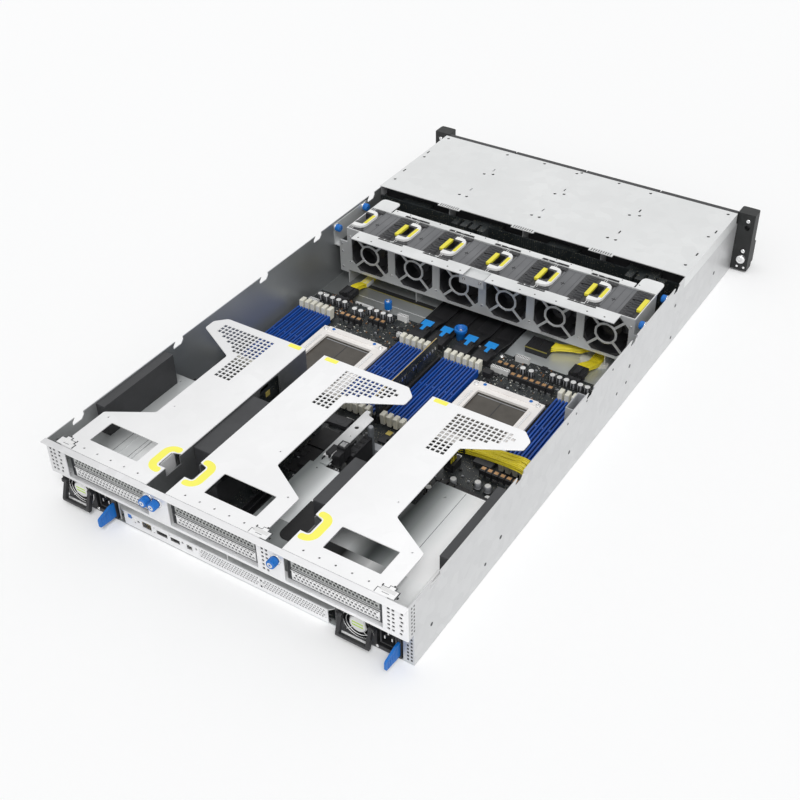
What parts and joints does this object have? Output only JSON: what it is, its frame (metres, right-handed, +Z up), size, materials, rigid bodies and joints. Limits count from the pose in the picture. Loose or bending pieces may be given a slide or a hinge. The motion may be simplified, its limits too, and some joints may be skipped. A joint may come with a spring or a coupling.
{
  "type": "2u rack server",
  "caption": "Rack server with open top: vented rear panel, riser cages, sockets, fan row, drive bay with sliding carriers, two slide-out power supplies and rack ears.",
  "frame": {"origin": "bottom centre of the whole server's bounding box", "axes": "+X to the right as seen from the rear panel, +Y from the rear panel towards the rack ears, +Z up"},
  "size_m": [0.4826, 0.847, 0.0867],
  "materials": {
    "galvanised_steel": "satin, zinc coated",
    "riser_steel": "satin, bright zinc coated",
    "port_plastic": "matt black",
    "baffle_plastic": "matt black",
    "circuit_board": "dark solder mask",
    "socket_plastic": "matt, warm grey",
    "memory_plastic": "matt royal blue",
    "latch_plastic": "matt white",
    "component_plastic": "matt dark",
    "bracket_plastic": "matt grey",
    "touch_plastic": "matt blue",
    "ear_plastic": "matt black",
    "cable_jacket": "matt black",
    "lead_jacket": "yellow",
    "fan_plastic": "matt dark grey",
    "rotor_plastic": "matt black",
    "psu_case": "satin",
    "handle_plastic": "matt black",
    "drive_metal": "dark painted"
  },
  "bodies": {
    "server": {"chassis_base": "galvanised_steel", "rear_panel": "galvanised_steel", "io_panel": "galvanised_steel", "io_connectors": "port_plastic", "psu_bay_covers": "galvanised_steel", "air_baffles": "baffle_plastic", "motherboard": "circuit_board", "cpu_sockets": "socket_plastic", "memory_sockets": "memory_plastic", "board_components": "component_plastic", "center_card": "circuit_board", "side_port_bracket": "bracket_plastic", "fan_cage": "galvanised_steel", "captive_screws": "touch_plastic", "backplane": "circuit_board", "drive_cage": "galvanised_steel", "drive_bay_cover": "galvanised_steel", "rack_ears": "ear_plastic", "data_cables": "cable_jacket", "power_leads": "lead_jacket"},
    "memory_latches_front": {"memory_latches_front": "latch_plastic"},
    "memory_latches_rear": {"memory_latches_rear": "latch_plastic"},
    "riser_left": {"riser_left": "riser_steel", "riser_card_left": "circuit_board"},
    "riser_centre": {"riser_centre": "riser_steel", "riser_card_centre": "circuit_board"},
    "riser_right": {"riser_right": "riser_steel", "riser_card_right": "circuit_board"},
    "fan_1": {"fan_1": "fan_plastic"},
    "fan_rotor_1": {"fan_rotor_1": "rotor_plastic"},
    "fan_2": {"fan_2": "fan_plastic"},
    "fan_rotor_2": {"fan_rotor_2": "rotor_plastic"},
    "fan_3": {"fan_3": "fan_plastic"},
    "fan_rotor_3": {"fan_rotor_3": "rotor_plastic"},
    "fan_4": {"fan_4": "fan_plastic"},
    "fan_rotor_4": {"fan_rotor_4": "rotor_plastic"},
    "fan_5": {"fan_5": "fan_plastic"},
    "fan_rotor_5": {"fan_rotor_5": "rotor_plastic"},
    "fan_6": {"fan_6": "fan_plastic"},
    "fan_rotor_6": {"fan_rotor_6": "rotor_plastic"},
    "psu_left": {"psu_left": "psu_case"},
    "psu_handle_left": {"psu_handle_left": "handle_plastic"},
    "psu_latch_left": {"psu_latch_left": "touch_plastic"},
    "psu_rotor_left": {"psu_rotor_left": "rotor_plastic"},
    "psu_right": {"psu_right": "psu_case"},
    "psu_handle_right": {"psu_handle_right": "handle_plastic"},
    "psu_latch_right": {"psu_latch_right": "touch_plastic"},
    "psu_rotor_right": {"psu_rotor_right": "rotor_plastic"},
    "drive_carrier_1": {"drive_carrier_1": "drive_metal"},
    "drive_carrier_2": {"drive_carrier_2": "drive_metal"},
    "drive_carrier_3": {"drive_carrier_3": "drive_metal"},
    "drive_carrier_4": {"drive_carrier_4": "drive_metal"},
    "drive_carrier_5": {"drive_carrier_5": "drive_metal"},
    "drive_carrier_6": {"drive_carrier_6": "drive_metal"},
    "drive_carrier_7": {"drive_carrier_7": "drive_metal"},
    "drive_carrier_8": {"drive_carrier_8": "drive_metal"},
    "drive_carrier_9": {"drive_carrier_9": "drive_metal"},
    "drive_carrier_10": {"drive_carrier_10": "drive_metal"},
    "drive_carrier_11": {"drive_carrier_11": "drive_metal"},
    "drive_carrier_12": {"drive_carrier_12": "drive_metal"}
  },
  "joints": [
    {"name": "memory_latches_front_tilt", "type": "hinge", "parent": "server", "child": "memory_latches_front", "pos_m": [0, 0.0068, 0.0095], "axis": [-1, 0, 0], "range_deg": [0, 30]},
    {"name": "memory_latches_rear_tilt", "type": "hinge", "parent": "server", "child": "memory_latches_rear", "pos_m": [0, -0.1298, 0.0095], "axis": [1, 0, 0], "range_deg": [0, 30]},
    {"name": "riser_left_lift", "type": "slide", "parent": "server", "child": "riser_left", "axis": [0, 0, 1], "range_m": [0, 0.09]},
    {"name": "riser_centre_lift", "type": "slide", "parent": "server", "child": "riser_centre", "axis": [0, 0, 1], "range_m": [0, 0.09]},
    {"name": "riser_right_lift", "type": "slide", "parent": "server", "child": "riser_right", "axis": [0, 0, 1], "range_m": [0, 0.09]},
    {"name": "fan_1_lift", "type": "slide", "parent": "server", "child": "fan_1", "axis": [0, 0, 1], "range_m": [0, 0.09]},
    {"name": "fan_1_spin", "type": "hinge", "parent": "fan_1", "child": "fan_rotor_1", "pos_m": [-0.16225, 0.1315, 0.0525], "axis": [0, 1, 0], "continuous": true},
    {"name": "fan_2_lift", "type": "slide", "parent": "server", "child": "fan_2", "axis": [0, 0, 1], "range_m": [0, 0.09]},
    {"name": "fan_2_spin", "type": "hinge", "parent": "fan_2", "child": "fan_rotor_2", "pos_m": [-0.09575, 0.1315, 0.0525], "axis": [0, 1, 0], "continuous": true},
    {"name": "fan_3_lift", "type": "slide", "parent": "server", "child": "fan_3", "axis": [0, 0, 1], "range_m": [0, 0.09]},
    {"name": "fan_3_spin", "type": "hinge", "parent": "fan_3", "child": "fan_rotor_3", "pos_m": [-0.02925, 0.1315, 0.0525], "axis": [0, 1, 0], "continuous": true},
    {"name": "fan_4_lift", "type": "slide", "parent": "server", "child": "fan_4", "axis": [0, 0, 1], "range_m": [0, 0.09]},
    {"name": "fan_4_spin", "type": "hinge", "parent": "fan_4", "child": "fan_rotor_4", "pos_m": [0.03725, 0.1315, 0.0525], "axis": [0, 1, 0], "continuous": true},
    {"name": "fan_5_lift", "type": "slide", "parent": "server", "child": "fan_5", "axis": [0, 0, 1], "range_m": [0, 0.09]},
    {"name": "fan_5_spin", "type": "hinge", "parent": "fan_5", "child": "fan_rotor_5", "pos_m": [0.10375, 0.1315, 0.0525], "axis": [0, 1, 0], "continuous": true},
    {"name": "fan_6_lift", "type": "slide", "parent": "server", "child": "fan_6", "axis": [0, 0, 1], "range_m": [0, 0.09]},
    {"name": "fan_6_spin", "type": "hinge", "parent": "fan_6", "child": "fan_rotor_6", "pos_m": [0.17025, 0.1315, 0.0525], "axis": [0, 1, 0], "continuous": true},
    {"name": "psu_left_slide", "type": "slide", "parent": "server", "child": "psu_left", "axis": [0, -1, 0], "range_m": [0, 0.15]},
    {"name": "psu_left_handle_swing", "type": "hinge", "parent": "psu_left", "child": "psu_handle_left", "pos_m": [-0.1912, -0.4045, 0.0295], "axis": [-1, 0, 0], "range_deg": [0, 70]},
    {"name": "psu_left_latch_press", "type": "hinge", "parent": "psu_left", "child": "psu_latch_left", "pos_m": [-0.1469, -0.392, 0.0145], "axis": [0, 0, -1], "range_deg": [0, 6], "stiffness_Nm_per_rad": 0.4},
    {"name": "psu_left_spin", "type": "hinge", "parent": "psu_left", "child": "psu_rotor_left", "pos_m": [-0.1915, -0.3875, 0.0215], "axis": [0, 1, 0], "continuous": true},
    {"name": "psu_right_slide", "type": "slide", "parent": "server", "child": "psu_right", "axis": [0, -1, 0], "range_m": [0, 0.15]},
    {"name": "psu_right_handle_swing", "type": "hinge", "parent": "psu_right", "child": "psu_handle_right", "pos_m": [0.1586, -0.4045, 0.0295], "axis": [-1, 0, 0], "range_deg": [0, 70]},
    {"name": "psu_right_latch_press", "type": "hinge", "parent": "psu_right", "child": "psu_latch_right", "pos_m": [0.2029, -0.392, 0.0145], "axis": [0, 0, -1], "range_deg": [0, 6], "stiffness_Nm_per_rad": 0.4},
    {"name": "psu_right_spin", "type": "hinge", "parent": "psu_right", "child": "psu_rotor_right", "pos_m": [0.1583, -0.3875, 0.0215], "axis": [0, 1, 0], "continuous": true},
    {"name": "drive_carrier_1_slide", "type": "slide", "parent": "server", "child": "drive_carrier_1", "axis": [0, 1, 0], "range_m": [0, 0.15]},
    {"name": "drive_carrier_2_slide", "type": "slide", "parent": "server", "child": "drive_carrier_2", "axis": [0, 1, 0], "range_m": [0, 0.15]},
    {"name": "drive_carrier_3_slide", "type": "slide", "parent": "server", "child": "drive_carrier_3", "axis": [0, 1, 0], "range_m": [0, 0.15]},
    {"name": "drive_carrier_4_slide", "type": "slide", "parent": "server", "child": "drive_carrier_4", "axis": [0, 1, 0], "range_m": [0, 0.15]},
    {"name": "drive_carrier_5_slide", "type": "slide", "parent": "server", "child": "drive_carrier_5", "axis": [0, 1, 0], "range_m": [0, 0.15]},
    {"name": "drive_carrier_6_slide", "type": "slide", "parent": "server", "child": "drive_carrier_6", "axis": [0, 1, 0], "range_m": [0, 0.15]},
    {"name": "drive_carrier_7_slide", "type": "slide", "parent": "server", "child": "drive_carrier_7", "axis": [0, 1, 0], "range_m": [0, 0.15]},
    {"name": "drive_carrier_8_slide", "type": "slide", "parent": "server", "child": "drive_carrier_8", "axis": [0, 1, 0], "range_m": [0, 0.15]},
    {"name": "drive_carrier_9_slide", "type": "slide", "parent": "server", "child": "drive_carrier_9", "axis": [0, 1, 0], "range_m": [0, 0.15]},
    {"name": "drive_carrier_10_slide", "type": "slide", "parent": "server", "child": "drive_carrier_10", "axis": [0, 1, 0], "range_m": [0, 0.15]},
    {"name": "drive_carrier_11_slide", "type": "slide", "parent": "server", "child": "drive_carrier_11", "axis": [0, 1, 0], "range_m": [0, 0.15]},
    {"name": "drive_carrier_12_slide", "type": "slide", "parent": "server", "child": "drive_carrier_12", "axis": [0, 1, 0], "range_m": [0, 0.15]}
  ]
}
